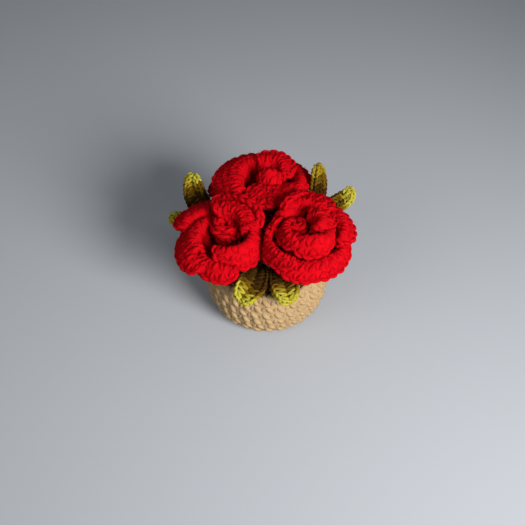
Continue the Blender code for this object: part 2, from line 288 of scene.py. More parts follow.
# How deep strands sink into a sheet, in strands, how far a petal's backing swells
# between them, and at what share of the backing's half thickness stitches lie.
# A leaf's edging is closer and thicker than its stitches by the last two shares.
STRAND_SINK = 0.62
POT_SINKS = (0.78, 0.90)
PETAL_BACKING_SWELL = 0.46
PETAL_LIFT = 0.7
LEAF_BACKING_SHARE = 0.62
LEAF_LIFT = 0.80
LEAF_EDGE_LIFT = 0.5
LEAF_EDGE_PITCH = 0.9
LEAF_EDGE_STRAND = 1.1

# The outer petals are worked on both faces.  Where along each sheet its stitches
# start, and below what shares of its length its yarn takes darker tones as painted shade.
OUTER_PETALS = 5
OUTER_START = 0.16
INNER_START = 0.36
PETAL_PAINTED_SHADE_LEVELS = (0.30, 0.44)
BUD_START = 0.30
BUD_PAINTED_SHADE_LEVELS = (0.60, 1.01)

# Where the two soft lights stand and what they face, and how wide they are, in
# metres, with the angle of their cones in degrees.
KEY_PLACE = (0.35, -0.43, 0.31)
KEY_RADIUS = 0.15
FILL_PLACE = (-0.45, -0.35, 0.40)
FILL_RADIUS = 0.25
LIGHT_AIM = (0.0, 0.0, 0.03)
LIGHT_CONE = 75.0
SKY_COLOUR = (0.86, 0.92, 1.0, 1.0)
CAMERA_AIM = (-0.0022, 0.0, 0.023)
FLOOR_SIZE = 6.0

# How bright each tone of a yarn is, as shares of its red, green and blue: the
# roses' from the open petals down to painted shade in their depths, the leaves' from
# tip to foot, the yarn's own olive and brown with painted light at the tip and painted shade towards the
# foot.
ROSE_PAINTED_SHADES = [(1.0, 1.0, 1.0), (0.66, 0.6, 0.6), (0.30, 0.3, 0.3)]
LEAF_TONES_AND_PAINTED_LIGHT = [(1.30, 1.34, 1.30), (0.84, 0.68, 0.45), (0.42, 0.26, 0.14), (0.14, 0.07, 0.06)]
ONE_SHADE = [(1.0, 1.0, 1.0)]


# -------- shapes

def line_through(points, share):
    """A smooth line through evenly spaced points, read at many shares at once."""
    points = np.asarray(points, float)
    ends = np.vstack([2.0 * points[0] - points[1], points, 2.0 * points[-1] - points[-2]])
    place = np.clip(share, 0.0, 0.99999) * (len(points) - 1)
    index = place.astype(int)
    part = (place - index)[..., None]
    p0, p1, p2, p3 = (ends[index + step] for step in range(4))
    flat = 2.0 * p1 + (p2 - p0) * part
    bend = (2.0 * p0 - 5.0 * p1 + 4.0 * p2 - p3) * part ** 2
    swing = (3.0 * p1 - p0 - 3.0 * p2 + p3) * part ** 3
    return 0.5 * (flat + bend + swing)


def bezier(points, share):
    """A curve drawn towards its middle points, read at many shares at once."""
    layers = [np.asarray(point, float) for point in points]
    share = np.asarray(share, float)[..., None]
    while len(layers) > 1:
        layers = [a * (1.0 - share) + b * share for a, b in zip(layers, layers[1:])]
    return layers[0]


def run_along(points):
    """How far each point of a line lies from its start, measured along the line."""
    return np.concatenate([[0.0], np.cumsum(np.linalg.norm(np.diff(points, axis=0), axis=1))])


def unit(vectors):
    """Vectors brought to length one."""
    size = np.linalg.norm(vectors, axis=-1, keepdims=True)
    return vectors / np.maximum(size, 1e-9)


def outward(azimuth):
    """Level directions from azimuths in degrees."""
    angle = np.radians(azimuth)
    return np.stack([np.cos(angle), np.sin(angle), np.zeros_like(angle)], axis=-1)


def eased(distance, limit):
    """Distances kept above a limit, coming up to it softly."""
    excess = distance - limit - PRESS_SOFT
    pushed = limit + PRESS_SOFT * np.exp(np.minimum(excess, 0.0) / PRESS_SOFT)
    return np.where(excess >= 0.0, distance, pushed)


def press(points, walls, margin):
    """Points pressed back into their rose's share of the cluster, as neighbours do."""
    middle = np.array([CLUSTER_X, CLUSTER_Y, 0.0])
    free = points
    for facing in walls:
        normal = outward(np.float64(facing))
        distance = (points - middle) @ normal
        points = points + normal * (eased(distance, margin) - distance)[..., None]
    out = (points - middle) * np.array([1.0, 1.0, 0.0])
    distance = np.linalg.norm(out, axis=-1)
    points = points + unit(out) * (eased(distance, margin + MIDDLE_HOLE_R) - distance)[..., None]
    lift = PRESS_LIFT * np.linalg.norm(points - free, axis=-1)
    return points + lift[..., None] * UP


def rose_point(rose, azimuth, radius, height, layer=0):
    """Points of a rose from azimuth, distance from its leaning axis and height."""
    share = (height / ROSE_H)[..., None]
    foot = np.array([*rose["foot"], ROSE_BASE_Z])
    bud = np.array([*rose["bud"], ROSE_BASE_Z])
    points = foot + (bud - foot) * share + outward(azimuth) * radius[..., None]
    points = points + height[..., None] * UP
    thickness = bpy.context.scene.rose_heads.petal_thickness / MM
    return press(points, rose["walls"], thickness / 2.0 + SIDE_GAP + layer * LAYER_STEP)


def petal_shape(rose, layer, petal, across, along):
    """Where a petal's sheet is, with across in -1..1 and along in 0..1."""
    azimuth, half, crest_r, crest_h, rim_r, rim_h = petal
    share = along * (1.0 - PETAL_ROUNDING * np.abs(across) ** 3)
    line = [
        PETAL_FOOT,
        (PETAL_BELLY[0] * crest_r, PETAL_BELLY[1] * crest_h),
        (crest_r, crest_h),
        (crest_r + PETAL_LIP[0] * (rim_r - crest_r), crest_h + PETAL_LIP[1] * (rim_h - crest_h)),
        (rim_r, rim_h),
    ]
    spot = line_through(line, share)
    swing = half * across * (PETAL_FAN + (1.0 - PETAL_FAN) * share)
    tuck = PETAL_TUCK * across * np.minimum(1.0, 1.6 * share)
    drop = PETAL_SAG * np.abs(across) ** 3 * np.minimum(1.0, 2.0 * share)
    return rose_point(rose, azimuth + swing, spot[..., 0] + tuck, spot[..., 1] - drop, layer)


def bud_shape(rose, across, along):
    """The rolled middle: one strip wound outwards, its rim standing up."""
    roll_x, roll_y, reach, tall = rose["roll"]
    share = (across + 1.0) / 2.0
    radius = BUD_R_IN + (reach - BUD_R_IN) * share
    radius = radius * (BUD_NECK + (1.0 - BUD_NECK) * along) + BUD_FLARE * along ** 3
    top = tall * ROSE_H * (1.0 - BUD_SPIRAL_DROP * share) + BUD_WAVE * np.sin(BUD_WAVE_TURN * share)
    height = BUD_FOOT_Z + (top - BUD_FOOT_Z) * along
    points = rose_point(rose, rose["turn"] + 360.0 * BUD_TURNS * share, radius, height)
    return points + along[..., None] * np.array([roll_x, roll_y, 0.0])


def pot_line():
    """The pot's outline as radius and height, from the middle of its underside to that of its top."""
    half = POT_LIP / 2.0
    side = [
        (POT_FOOT_R, 0.0),
        (POT_FOOT_R + POT_CORNER[0] * (POT_LOW_R - POT_FOOT_R), POT_CORNER[1] * POT_LOW_Z),
        (POT_LOW_R, POT_LOW_Z),
        (POT_BELLY_SHARE * POT_WAIST_R, POT_BELLY[1] * POT_H),
        (POT_WAIST_R, POT_BELLY[0] * POT_H),
        (POT_RIM_R, POT_H - half),
    ]
    points = [(AXIS_R, 0.0), (POT_FOOT_R * 0.5, 0.0), (POT_FOOT_R * 0.9, 0.0)]
    for step in range(POT_SIDE_STEPS + 1):
        points.append(tuple(line_through(side, np.float64(step / POT_SIDE_STEPS))))
    for step in range(1, POT_LIP_STEPS + 1):
        angle = math.pi * step / POT_LIP_STEPS
        points.append((POT_RIM_R - half + half * math.cos(angle), POT_H - half + half * math.sin(angle)))
    points.append((POT_RIM_R - POT_LIP - POT_FILL_INSET, POT_FILL_Z))
    points += [(POT_RIM_R * 0.45, POT_FILL_Z), (AXIS_R, POT_FILL_Z)]
    points = np.array(points)
    return points, run_along(points)


POT_POINTS, POT_RUN = pot_line()


def pot_shape(across, along):
    """The pot's cover: across goes once round, along from the underside up to the top."""
    run = along * POT_RUN[-1]
    radius = np.interp(run, POT_RUN, POT_POINTS[:, 0])
    height = np.interp(run, POT_RUN, POT_POINTS[:, 1])
    points = outward(180.0 * across - 90.0) * radius[..., None]
    return points + height[..., None] * UP


def round_end(share):
    """A leaf's width as a share of its widest, rounded off at both ends."""
    return np.maximum(0.0, 4.0 * share * (1.0 - share)) ** LEAF_BLUNTNESS


def leaf_shape(leaf, across, along):
    """A leaf's sheet: across runs from edge to edge and along from its foot to its tip."""
    line = leaf["line"]
    spot = bezier(line, along)
    before = bezier(line, np.maximum(0.0, along - 0.02))
    ahead = unit(bezier(line, np.minimum(1.0, along + 0.02)) - before)
    side = unit(np.cross(np.array(leaf["face"], float), ahead))
    face = unit(np.cross(ahead, side))
    swell = LEAF_NECK + (1.0 - LEAF_NECK) * np.minimum(1.0, LEAF_SWELL * along)
    width = (leaf["half"][0] - LEAF_EDGE_IN) * swell * round_end(along)
    cup = LEAF_CUP * leaf["half"][1] * across ** 2
    return spot + side * (width * across)[..., None] + face * cup[..., None]


def leaf_tone(name, along, rng):
    """Which tone a stitch of a leaf has: pale at its tip and brown towards its foot, partly the yarn's own
    tones and partly painted light and shade.
    """
    place = along + rng.normal(0.0, LEAF_TONE_SPREAD, len(along))
    return sum((place < turn).astype(int) for turn in LEAF_TURNS[name])


# -------- cloth

class Cloth:
    """A sheet given by a rule from (across, along) to points, with the side that shows."""

    def __init__(self, rule, facing=1.0):
        self.rule = rule
        self.facing = facing

    def point(self, across, along):
        return self.rule(np.asarray(across, float), np.asarray(along, float))

    def normal(self, across, along):
        """The way up from the side that shows, read a small step to each side."""
        step = 0.012
        across = np.asarray(across, float)
        along = np.asarray(along, float)
        sideways = self.rule(across + step, along) - self.rule(across - step, along)
        before = self.rule(across, np.maximum(along - step, 0.0))
        ahead = self.rule(across, np.minimum(along + step, 1.0)) - before
        return unit(np.cross(sideways, ahead)) * self.facing


def even_steps(line, start, end, size, least=1):
    """Values from start to end that split a line into equal lengths of about a size."""
    values = np.linspace(start, end, 81)
    points = line(values)
    run = run_along(points)
    count = max(least, int(round(run[-1] / size)))
    return np.interp(np.linspace(0.0, run[-1], count + 1), run, values)


def stitch_cells(cloth, reach, pitch, row, lean, least=1):
    """One cell for each stitch of each row: its two ends across and along."""
    low_u, high_u, low_v, high_v = reach
    middle = (low_u + high_u) / 2.0
    rows = even_steps(lambda v: cloth.point(np.full_like(v, middle), v), low_v, high_v, row)
    cells = []
    for number, (start, end) in enumerate(zip(rows, rows[1:])):
        level = (start + end) / 2.0
        ends = even_steps(lambda u: cloth.point(u, np.full_like(u, level)), low_u, high_u, pitch, least)
        shift = (lean * number) % 1.0 * (ends[1] - ends[0])
        for first, last in zip(ends, ends[1:]):
            cells.append((first + shift, last + shift, start, end))
    return np.array(cells)


def drawn_in(end, count=STRAND_SAMPLES, bluntness=STRAND_BLUNTNESS):
    """How thick a strand is along its length: full in the middle, drawn in at both ends."""
    return np.sin(np.pi * np.linspace(end, 1.0 - end, count)) ** bluntness


def lay_strands(cloth, cells, leg, thickness, face, lift, rng):
    """The strands of one leg in every cell: their points, the way up, and their radius."""
    way = line_through(leg, np.linspace(0.0, 1.0, STRAND_SAMPLES))
    jitter = rng.normal(0.0, 1.0, (len(cells), 4)) * STITCH_UNEVEN
    across = way[None, :, 0] + jitter[:, 0:1]
    along = way[None, :, 1] + jitter[:, 1:2]
    above = way[None, :, 2] * (1.0 + jitter[:, 2:3])
    u = cells[:, 0:1] + (cells[:, 1:2] - cells[:, 0:1]) * across
    v = np.clip(cells[:, 2:3] + (cells[:, 3:4] - cells[:, 2:3]) * along, 0.0, 1.0)
    up = cloth.normal(u, v) * face
    points = cloth.point(u, v) + up * (lift + above * thickness)[..., None]
    radius = 0.5 * thickness * drawn_in(0.07)[None, :] * (1.0 + jitter[:, 3:4])
    return points, up, radius


def edge_strands(cloth, edge, pitch, thickness, face, lift, rng):
    """An edging of slanting loops along an edge: as lay_strands, and each loop's place."""
    def place_at(share):
        return np.clip(line_through(edge, share), -1.0, 1.0)

    def spot(share):
        place = place_at(share)
        return cloth.point(place[..., 0], place[..., 1])

    ends = even_steps(spot, 0.0, 1.0, pitch, 2)
    way = line_through(EDGE_LOOP, np.linspace(0.0, 1.0, STRAND_SAMPLES))
    jitter = rng.normal(0.0, 1.0, (len(ends) - 1, 3)) * EDGE_UNEVEN
    share = ends[:-1, None] + (ends[1:] - ends[:-1])[:, None] * (way[None, :, 0] + jitter[:, 0:1])
    share = np.clip(share, 0.0, 1.0)
    place = place_at(share)
    across, along = place[..., 0], place[..., 1]
    points = cloth.point(across, along)
    ahead = unit(spot(np.minimum(share + 0.01, 1.0)) - spot(np.maximum(share - 0.01, 0.0)))
    up = cloth.normal(across, along)
    low = np.minimum(along, EDGE_IN_LEVEL)
    off = points - cloth.point(across * EDGE_IN_ACROSS, low + (along - low) * EDGE_IN_ALONG)
    off = off - ahead * np.sum(off * ahead, axis=-1, keepdims=True)
    off = unit(off - up * np.sum(off * up, axis=-1, keepdims=True))
    out = (way[None, :, 1] + jitter[:, 1:2]) * thickness
    above = way[None, :, 2] * thickness + lift * EDGE_LIFT
    points = points + off * out[..., None] + up * face * above[..., None]
    radius = 0.5 * thickness * drawn_in(0.08)[None, :] * (1.0 + jitter[:, 2:3])
    return points, unit(off + up * face), radius, place_at((ends[:-1] + ends[1:]) / 2.0)


# -------- meshes

class Weave:
    """Gathers vertices and faces of many small closed bodies into one mesh."""

    def __init__(self):
        self.points, self.quads, self.caps = [], [], []
        self.turns, self.tones, self.cap_tones = [], [], []
        self.count = 0

    def tubes(self, points, up, radius, sides=8, plied=True, rng=None, tone=None):
        """Closed tubes along many lines, lobed like twisted plies, each in one of the yarn's tones, some of
        which are painted light and shade.
        """
        count, samples, _ = points.shape
        depth, twist = (PLY_DEPTH, PLY_TWIST) if plied else (0.0, 0.0)
        tone = np.zeros(count, int) if tone is None else np.asarray(tone, int)
        ahead = unit(np.gradient(points, axis=1))
        up = unit(up - ahead * np.sum(up * ahead, axis=-1, keepdims=True))
        side = np.cross(ahead, up)
        steps = np.linalg.norm(np.diff(points, axis=1), axis=2)
        run = np.concatenate([np.zeros((count, 1)), np.cumsum(steps, axis=1)], axis=1)
        start = rng.random((count, 1)) if rng is not None else np.zeros((count, 1))
        turn = start + run * twist
        angle = np.arange(sides) / sides
        lobes = 1.0 + depth * np.cos(2.0 * np.pi * YARN_PLIES * (angle[None, None, :] - turn[..., None]))
        reach = radius[..., None] * lobes
        ring = side[:, :, None, :] * np.cos(2.0 * np.pi * angle)[None, None, :, None]
        ring = ring + up[:, :, None, :] * np.sin(2.0 * np.pi * angle)[None, None, :, None]
        verts = points[:, :, None, :] + ring * reach[..., None]
        self.points.append(verts.reshape(-1, 3))
        index = self.count + np.arange(count * samples * sides).reshape(count, samples, sides)
        after = np.roll(index, -1, axis=2)
        quads = np.stack([index[:, :-1], after[:, :-1], after[:, 1:], index[:, 1:]], axis=-1)
        self.quads.append(quads.reshape(-1, 4))
        low, high = turn[:, :-1, None], turn[:, 1:, None]
        left, right = angle, angle + 1.0 / sides
        corners = [(low, left), (low, right), (high, right), (high, left)]
        coords = np.stack([np.stack(np.broadcast_arrays(*corner), -1) for corner in corners], axis=3)
        self.turns.append(coords.reshape(-1, 2))
        self.tones.append(np.repeat(tone, (samples - 1) * sides))
        self.caps.append(index[:, 0, ::-1].reshape(-1, sides))
        self.caps.append(index[:, -1, :].reshape(-1, sides))
        self.cap_tones += [tone, tone]
        self.count += count * samples * sides

    def add_plain(self, quads, tone):
        """Adds faces that have one tone and no twist."""
        self.quads.append(quads)
        self.tones.append(np.full(len(quads), tone))
        self.turns.append(np.zeros((len(quads) * 4, 2)))

    def slab(self, cloth, reach, steps, half, tone=0):
        """A closed sheet of even thickness."""
        low_u, high_u, low_v, high_v = reach
        u, v = np.meshgrid(
            np.linspace(low_u, high_u, steps[0]), np.linspace(low_v, high_v, steps[1]), indexing="ij")
        spot = cloth.point(u, v)
        up = cloth.normal(u, v) * cloth.facing
        verts = np.stack([spot + up * half, spot - up * half])
        index = self.count + np.arange(verts.size // 3).reshape(verts.shape[:3])
        self.points.append(verts.reshape(-1, 3))
        top, under = index
        faces = []
        for grid, order in ((top, [0, 1, 2, 3]), (under, [0, 3, 2, 1])):
            corners = [grid[:-1, :-1], grid[1:, :-1], grid[1:, 1:], grid[:-1, 1:]]
            faces.append(np.stack(corners, -1).reshape(-1, 4)[:, order])
        border = [
            (top[:, 0], under[:, 0], 1), (top[:, -1], under[:, -1], -1),
            (top[0, :], under[0, :], -1), (top[-1, :], under[-1, :], 1)]
        for high, low, order in border:
            ring = np.stack([high[:-1], low[:-1], low[1:], high[1:]], -1)
            faces.append(ring[:, ::order])
        self.add_plain(np.concatenate(faces), tone)
        self.count += verts.size // 3

    def turned(self, line, sides, tone=0):
        """A closed turned body from radius and height points that run from the bottom axis to the top."""
        line = np.asarray(line, float)
        angle = 2.0 * np.pi * np.arange(sides) / sides
        verts = np.stack([
            line[:, 0:1] * np.cos(angle), line[:, 0:1] * np.sin(angle),
            np.broadcast_to(line[:, 1:2], (len(line), sides))], axis=-1)
        index = self.count + np.arange(len(line) * sides).reshape(len(line), sides)
        after = np.roll(index, -1, axis=1)
        quads = np.stack([index[:-1], after[:-1], after[1:], index[1:]], axis=-1).reshape(-1, 4)
        self.points.append(verts.reshape(-1, 3))
        self.add_plain(quads, tone)
        self.caps.append(index[0:1, ::-1])
        self.caps.append(index[-1:, :])
        self.cap_tones += [np.array([tone]), np.array([tone])]
        self.count += len(line) * sides

    def shift(self, offset):
        """Moves the body that was added last."""
        self.points[-1] = self.points[-1] + np.asarray(offset, float)

    def mesh(self, name):
        """The gathered bodies as one mesh in metres, with how far each face is twisted as its UV."""
        points = np.concatenate(self.points) * MM
        faces = [np.concatenate(self.quads), *self.caps]
        loops = np.concatenate([part.reshape(-1) for part in faces]).astype(np.int32)
        sizes = np.concatenate([np.full(len(part), part.shape[1]) for part in faces]).astype(np.int32)
        turns = np.concatenate(self.turns)
        coords = np.zeros((len(loops), 2), np.float32)
        coords[:len(turns)] = turns
        mesh = bpy.data.meshes.new(name)
        mesh.vertices.add(len(points))
        mesh.vertices.foreach_set("co", points.astype(np.float32).reshape(-1))
        mesh.loops.add(len(loops))
        mesh.loops.foreach_set("vertex_index", loops)
        mesh.polygons.add(len(sizes))
        starts = np.concatenate([[0], np.cumsum(sizes)[:-1]]).astype(np.int32)
        mesh.polygons.foreach_set("loop_start", starts)
        tones = np.concatenate(self.tones + self.cap_tones).astype(np.int32)
        mesh.polygons.foreach_set("material_index", tones)
        mesh.uv_layers.new(name="Twist").data.foreach_set("uv", coords.reshape(-1))
        mesh.update(calc_edges=True)
        mesh.validate()
        mesh.shade_smooth()
        return mesh


class Fuzz:
    """Loose fibres: remembers the strands that show, then lets fine hairs stand off them."""

    def __init__(self):
        self.roots, self.ways, self.tones = [], [], []

    def gather(self, points, up, radius, tone):
        """Keeps the upper side of each strand, without its ends, and its tone, painted shade and light
        included.
        """
        self.roots.append((points + up * radius[..., None] * FIBRE_ROOT)[:, 2:-2].reshape(-1, 3))
        self.ways.append(up[:, 2:-2].reshape(-1, 3))
        self.tones.append(np.repeat(tone, points.shape[1] - 4))

    def grown(self, count, longest, rng, lowest=0.0):
        """The hairs, in soft curls, from roots above a height."""
        roots = np.concatenate(self.roots)
        high = roots[:, 2] > lowest
        pick = rng.integers(0, np.count_nonzero(high), count)
        root = roots[high][pick]
        lean = unit(np.concatenate(self.ways)[high][pick] + rng.normal(0.0, FIBRE_LEAN, (count, 3)))
        bend = rng.normal(0.0, FIBRE_BEND, (count, 3))
        size = longest * (0.35 + 0.65 * rng.random((count, 1, 1)))
        share = np.linspace(0.0, 1.0, FIBRE_SAMPLES)[None, :, None]
        points = root[:, None, :] + size * (lean[:, None, :] * share + bend[:, None, :] * share ** 2 * 0.55)
        radius = FIBRE_R * (1.0 - 0.8 * share[..., 0]) * np.ones((count, 1))
        side = np.broadcast_to(unit(rng.normal(0.0, 1.0, (count, 1, 3))), points.shape)
        weave = Weave()
        weave.tubes(points, side, radius, sides=3, plied=False, tone=np.concatenate(self.tones)[high][pick])
        return weave


def new_object(name, data):
    item = bpy.data.objects.new(name, data)
    bpy.context.scene.collection.objects.link(item)
    return item


def show(weave, name, materials, nodes=()):
    """Makes a piece of the gathered mesh, carried by the bush, in place of the nodes it stands for."""
    mesh = weave.mesh(name)
    for material in materials:
        mesh.materials.append(material)
    piece = new_object(name, mesh)
    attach(piece, BODY)
    if nodes:
        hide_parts(*nodes)


# -------- finishes

def shader_group(name, inputs, outputs):
    """An empty node group with its sockets, and its input and output nodes."""
    group = bpy.data.node_groups.new(name, "ShaderNodeTree")
    for way, sockets in (("INPUT", inputs), ("OUTPUT", outputs)):
        for label, kind in sockets:
            group.interface.new_socket(name=label, in_out=way, socket_type=kind)
    return group, group.nodes.new("NodeGroupInput"), group.nodes.new("NodeGroupOutput")


def math_node(tree, operation, *values, clamp=False):
    """The output of a sum on numbers or on other nodes' outputs."""
    node = tree.nodes.new("ShaderNodeMath")
    node.operation = operation
    node.use_clamp = clamp
    for socket, value in zip(node.inputs, values):
        if isinstance(value, (int, float)):
            socket.default_value = value
        else:
            tree.links.new(value, socket)
    return node.outputs[0]


def set_inputs(node, values):
    for name, value in values.items():
        node.inputs[name].default_value = value


def plied_yarn_group():
    """Grooves between the plies and fine fibres along them, from how far the strand has turned."""
    name = "Plied yarn"
    if name in bpy.data.node_groups:
        return bpy.data.node_groups[name]
    group, start, end = shader_group(
        name, [("Twist", "NodeSocketVector")], [("Ply", "NodeSocketFloat"), ("Height", "NodeSocketFloat")])
    split = group.nodes.new("ShaderNodeSeparateXYZ")
    group.links.new(start.outputs["Twist"], split.inputs[0])
    around = math_node(group, "SUBTRACT", split.outputs["Y"], split.outputs["X"])
    wave = math_node(group, "COSINE", math_node(group, "MULTIPLY", around, 2.0 * math.pi * YARN_PLIES))
    ply = math_node(group, "MULTIPLY_ADD", wave, 0.5, 0.5)
    join = group.nodes.new("ShaderNodeCombineXYZ")
    group.links.new(math_node(group, "MULTIPLY", around, 30.0), join.inputs[0])
    group.links.new(math_node(group, "MULTIPLY", split.outputs["X"], 9.0), join.inputs[1])
    noise = group.nodes.new("ShaderNodeTexNoise")
    set_inputs(noise, {"Scale": 1.0, "Detail": 3.0})
    group.links.new(join.outputs[0], noise.inputs["Vector"])
    hairs = math_node(group, "MULTIPLY", noise.outputs["Fac"], HAIR_RELIEF)
    height = math_node(group, "ADD", math_node(group, "MULTIPLY", ply, PLY_RELIEF), hairs)
    group.links.new(ply, end.inputs["Ply"])
    group.links.new(height, end.inputs["Height"])
    return group


def dye_and_groove_shade_group():
    """Uneven dye in blotches, and painted shade in the grooves between the plies: both turn to the deep
    tone.
    """
    name = "Dyed wool"
    if name in bpy.data.node_groups:
        return bpy.data.node_groups[name]
    group, start, end = shader_group(
        name,
        [("Position", "NodeSocketVector"), ("Colour", "NodeSocketColor"),
         ("Deep", "NodeSocketColor"), ("Ply", "NodeSocketFloat")],
        [("Color", "NodeSocketColor"), ("Roughness", "NodeSocketFloat")])
    noise = group.nodes.new("ShaderNodeTexNoise")
    set_inputs(noise, {"Scale": BLOTCH_SCALE, "Detail": 2.0})
    group.links.new(start.outputs["Position"], noise.inputs["Vector"])
    above = math_node(group, "SUBTRACT", noise.outputs["Fac"], 0.35)
    patches = math_node(group, "MULTIPLY", above, 2.2, clamp=True)
    # Painted shade in the grooves between the plies.
    groove_shade = math_node(group, "SUBTRACT", 1.0, start.outputs["Ply"])
    both = math_node(group, "MULTIPLY", math_node(group, "ADD", patches, groove_shade), 0.5)
    amount = math_node(group, "MULTIPLY", both, DYE_AND_GROOVE_SHADE, clamp=True)
    mix = group.nodes.new("ShaderNodeMix")
    mix.data_type = "RGBA"
    group.links.new(amount, mix.inputs["Factor"])
    group.links.new(start.outputs["Colour"], mix.inputs["A"])
    group.links.new(start.outputs["Deep"], mix.inputs["B"])
    group.links.new(mix.outputs["Result"], end.inputs["Color"])
    group.links.new(math_node(group, "MULTIPLY_ADD", patches, 0.10, 0.84), end.inputs["Roughness"])
    return group


def yarn_material(name, colour, deep):
    """Matte plied yarn in one tone of its colour, the paler and darker tones painting light and shade."""
    material = bpy.data.materials.new(name)
    material.use_nodes = True
    tree = material.node_tree
    shader = tree.nodes["Principled BSDF"]
    set_inputs(shader, {
        "Specular IOR Level": 0.04, "Sheen Weight": 0.20, "Sheen Roughness": 0.45,
        "Sheen Tint": (*colour, 1.0)})
    twist = tree.nodes.new("ShaderNodeUVMap")
    twist.uv_map = "Twist"
    plied = tree.nodes.new("ShaderNodeGroup")
    plied.node_tree = plied_yarn_group()
    tree.links.new(twist.outputs[0], plied.inputs["Twist"])
    where = tree.nodes.new("ShaderNodeTexCoord")
    wool = tree.nodes.new("ShaderNodeGroup")
    wool.node_tree = dye_and_groove_shade_group()
    set_inputs(wool, {"Colour": (*colour, 1.0), "Deep": (*deep, 1.0)})
    tree.links.new(where.outputs["Object"], wool.inputs["Position"])
    tree.links.new(plied.outputs["Ply"], wool.inputs["Ply"])
    tree.links.new(wool.outputs["Color"], shader.inputs["Base Color"])
    tree.links.new(wool.outputs["Roughness"], shader.inputs["Roughness"])
    bump = tree.nodes.new("ShaderNodeBump")
    set_inputs(bump, {"Strength": 0.5, "Distance": 0.00025})
    tree.links.new(plied.outputs["Height"], bump.inputs["Height"])
    tree.links.new(bump.outputs[0], shader.inputs["Normal"])
    return material


def dye_and_shade_tones(name, colour, deep, shades):
    """The same yarn in several tones, each a share of red, green and blue of the first: lighter and darker
    copies that paint light and shade, and for the leaves also the yarn's own tones.
    """
    tone_copies = []
    for number, shade in enumerate(shades):
        tone = tuple(value * part for value, part in zip(colour, shade))
        low = tuple(value * part for value, part in zip(deep, shade))
        tone_copies.append(yarn_material("%s_%d" % (name, number + 1), tone, low))
    return tone_copies


# -------- settings

def length(name, text, value):
    return FloatProperty(name=name, description=text, default=value, min=0.0, unit="LENGTH")


def power(name, text, value):
    return FloatProperty(name=name, description=text, default=value, min=0.0, unit="POWER")


def hair_count(text, value):
    return IntProperty(name="Loose fibres", description=text, default=value, min=1)


def yarn_strand(value):
    return length("Strand", "Thickness of the yarn", value)


def tint(name, text, value):
    return FloatVectorProperty(
        name=name, description=text, default=value, size=3, subtype="COLOR", min=0.0, max=1.0)


# Each yarn's deep tone colours its dye blotches and, as painted shade, the grooves between its plies.
class PotCoverSettings(bpy.types.PropertyGroup):
    stitch_width: length("Stitch width", "Width of one stitch round the pot", 0.0053)
    row_height: length("Row height", "Height of one round of stitches", 0.0043)
    strand: yarn_strand(0.0023)
    lean: FloatProperty(name="Lean", description="How far each round shifts, in stitches", default=0.26)
    fibre_count: hair_count("How many fibres stand off the pot", 1800)
    colour: tint("Colour", "Beige of the yarn", (0.308, 0.208, 0.106))
    deep: tint("Deep tone", "Beige in the yarn's grooves", (0.28, 0.170, 0.075))


class RoseHeadSettings(bpy.types.PropertyGroup):
    petal_thickness: length("Petal thickness", "Thickness of a worked petal", 0.0028)
    stitch_width: length("Stitch width", "Width of one stitch on a petal", 0.0040)
    row_height: length("Row height", "Height of one row on a petal", 0.0034)
    strand: yarn_strand(0.0019)
    fibre_count: hair_count("How many fibres stand off each rose", 2600)
    colour: tint("Colour", "Red of the yarn", (0.385, 0.0006, 0.0040))
    deep: tint("Deep tone", "Red in the yarn's grooves", (0.17, 0.0, 0.0012))


class StemSettings(bpy.types.PropertyGroup):
    strand: yarn_strand(0.0019)
    colour: tint("Colour", "Dark olive of the yarn", (0.10, 0.07, 0.012))
    deep: tint("Deep tone", "Olive in the yarn's grooves", (0.04, 0.028, 0.005))


class LeafSettings(bpy.types.PropertyGroup):
    stitch_width: length("Stitch width", "Width of one stitch along a leaf", 0.0020)
    strand: yarn_strand(0.00115)
    fibre_count: hair_count("How many fibres stand off each leaf", 450)
    colour: tint("Colour", "Olive green of the yarn", (0.26, 0.22, 0.022))
    deep: tint("Deep tone", "Olive in the yarn's grooves", (0.09, 0.065, 0.005))


class StudioSettings(bpy.types.PropertyGroup):
    lens: length("Lens", "Focal length of the camera", 0.0495)
    tilt: FloatProperty(
        name="Camera height", description="How far above the horizon the camera stands",
        default=math.radians(46.0), subtype="ANGLE")
    distance: length("Distance", "How far the camera stands from the bush", 0.324)
    key_power: power("Key light", "Power of the soft light at the right", 34.8)
    fill_power: power("Fill light", "Power of the wider light at the left", 4.8)
    sky: FloatProperty(name="Sky", description="Strength of the even light all round", default=0.22)
    floor_colour: tint("Floor", "Colour of the pale floor", (0.34, 0.352, 0.372))


# -------- pieces

class BUSH_OT_pot(bpy.types.Operator):
    """Works the pot's cover in rounds of single crochet"""
    bl_idname = "bush.pot"
    bl_label = "Pot"

    def execute(self, context):
        cover = context.scene.pot_cover
        strand = cover.strand / MM
        rng = np.random.default_rng(POT_SEED)
        cloth = Cloth(pot_shape)
        weave = Weave()
        backing = POT_POINTS.copy()
        backing[:, 0] = np.maximum(AXIS_R, backing[:, 0] - POT_BACKING_IN)
        backing[:, 1] = np.clip(backing[:, 1], POT_BACKING_IN, POT_H - POT_BACKING_LIP)
        backing[-3:, 1] = POT_FILL_Z - POT_BACKING_TOP
        weave.turned(backing, POT_SIDES)
        cells = stitch_cells(
            cloth, POT_STITCHES, cover.stitch_width / MM, cover.row_height / MM, cover.lean, least=6)
        fuzz = Fuzz()
        for leg, sink in zip((LEFT_LEG, RIGHT_LEG), POT_SINKS):
            strands = lay_strands(cloth, cells, leg, strand, 1.0, -strand * sink, rng)
            weave.tubes(*strands, sides=9, rng=rng)
            fuzz.gather(*strands, np.zeros(len(cells), int))
        for points in weave.points:
            points[:, 2] = np.maximum(points[:, 2], 0.0)
        beige = dye_and_shade_tones("pot_yarn_looks", cover.colour, cover.deep, ONE_SHADE)
        show(weave, "pot_cover", beige, ["pot"])
        show(fuzz.grown(cover.fibre_count, POT_FIBRE, rng, POT_FIBRE_LOW), "pot_fibres", beige)
        return {"FINISHED"}


